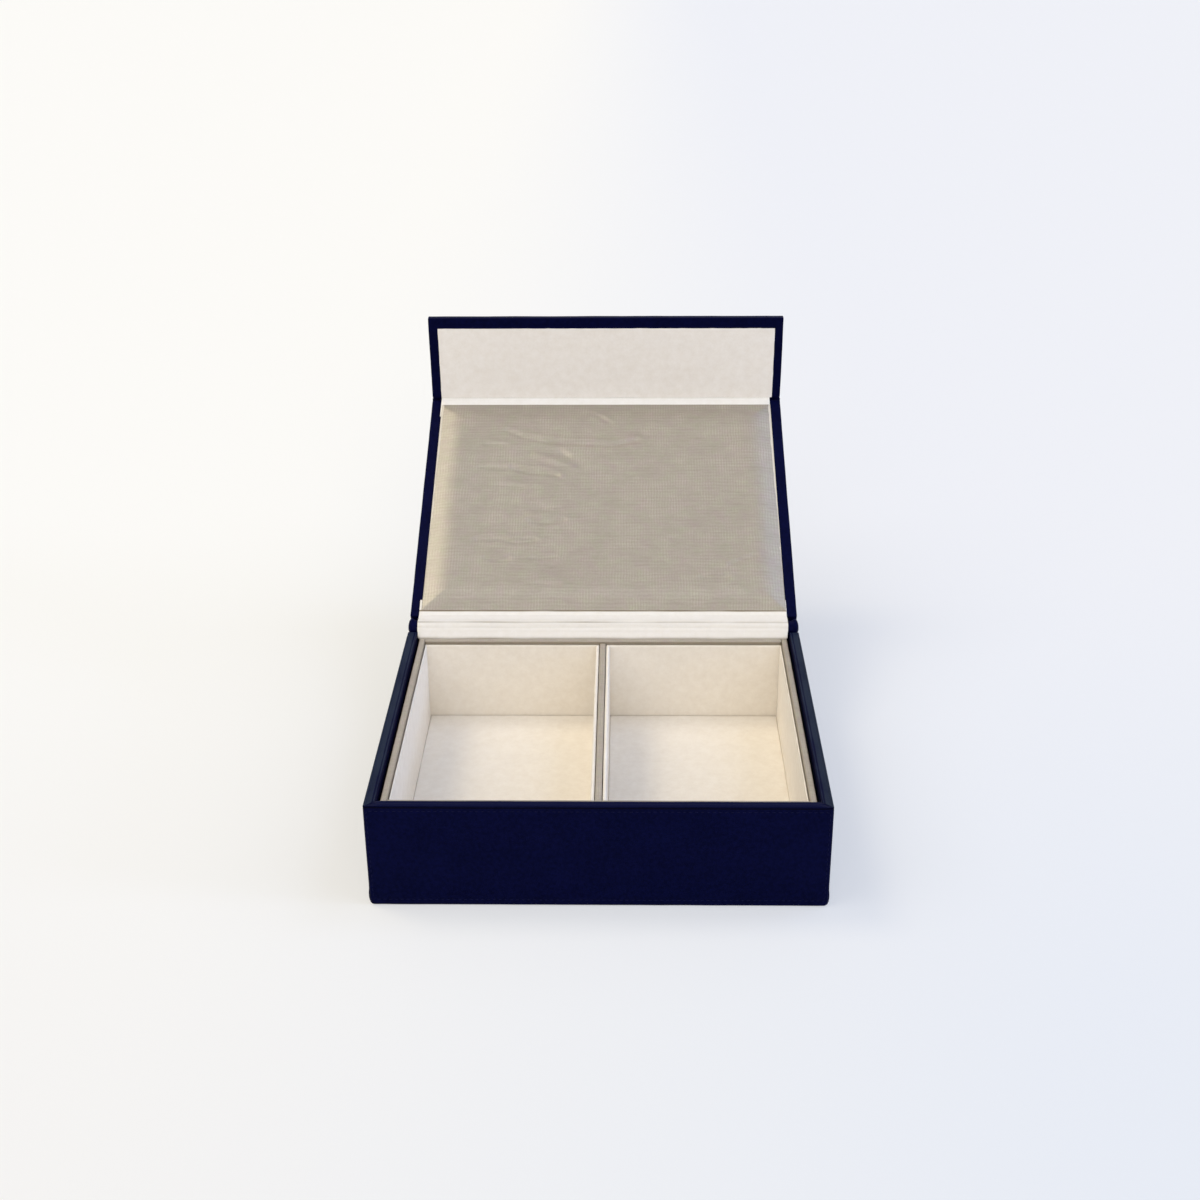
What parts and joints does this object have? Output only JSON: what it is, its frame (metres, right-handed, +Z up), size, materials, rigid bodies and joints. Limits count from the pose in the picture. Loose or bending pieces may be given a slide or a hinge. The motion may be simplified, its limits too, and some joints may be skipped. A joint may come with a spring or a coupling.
{
  "type": "leather keepsake box",
  "caption": "Low leather-covered keepsake box, open: padded lid hinged along the back, front flap hinged to the lid, and a suede-lined tray with side-by-side wells.",
  "frame": {"origin": "centre of the box's bottom face, on the surface that it stands on", "axes": "+Z up, +Y from the front wall to the hinged back wall, +X to the right as seen from the front"},
  "size_m": [0.26, 0.4099, 0.2234],
  "materials": {
    "leather": "satin",
    "board": "matte",
    "card": "matte",
    "lining_suede": "matte",
    "well_suede": "matte",
    "tray_silk": "satin",
    "pad_silk": "satin",
    "foam": "matte",
    "cord": "matte",
    "base_cloth": "matte",
    "magnet": "satin"
  },
  "bodies": {
    "base": {"back_board": "board", "back_leather": "leather", "bottom_board": "board", "bottom_cover": "base_cloth", "front_board": "board", "front_leather": "leather", "front_magnets": "magnet", "hinge_cord": "cord", "left_board": "board", "left_leather": "leather", "left_well_back_card": "card", "left_well_back_suede": "well_suede", "left_well_floor_card": "card", "left_well_floor_suede": "well_suede", "left_well_front_card": "card", "left_well_front_suede": "well_suede", "left_well_left_card": "card", "left_well_left_suede": "well_suede", "left_well_right_card": "card", "left_well_right_suede": "well_suede", "lid_hinge_leather": "leather", "lid_hinge_lining": "lining_suede", "right_board": "board", "right_leather": "leather", "right_well_back_card": "card", "right_well_back_suede": "well_suede", "right_well_floor_card": "card", "right_well_floor_suede": "well_suede", "right_well_front_card": "card", "right_well_front_suede": "well_suede", "right_well_left_card": "card", "right_well_left_suede": "well_suede", "right_well_right_card": "card", "right_well_right_suede": "well_suede", "tray_back_board": "board", "tray_back_silk": "tray_silk", "tray_divider_board": "board", "tray_divider_silk": "tray_silk", "tray_floor": "card", "tray_front_board": "board", "tray_front_silk": "tray_silk", "tray_left_board": "board", "tray_left_silk": "tray_silk", "tray_right_board": "board", "tray_right_silk": "tray_silk"},
    "lid": {"lid_board": "board", "lid_leather": "leather", "pad_card": "card", "pad_foam": "foam", "pad_cover": "pad_silk", "flap_hinge_leather": "leather", "flap_hinge_lining": "lining_suede"},
    "flap": {"flap_board": "board", "flap_leather": "leather", "flap_lining": "lining_suede", "flap_magnets": "magnet"}
  },
  "joints": [
    {"name": "lid_hinge", "type": "hinge", "parent": "base", "child": "lid", "pos_m": [0, 0.10375, 0.0671], "axis": [1, 0, 0], "range_deg": [0, 153.7], "deforming": ["lid_hinge_leather", "lid_hinge_lining"]},
    {"name": "flap_hinge", "type": "hinge", "parent": "lid", "child": "flap", "pos_m": [0, 0.29915, 0.15825], "axis": [1, 0, 0], "range_deg": [-66.5, 24.1], "deforming": ["flap_hinge_leather", "flap_hinge_lining"]}
  ]
}
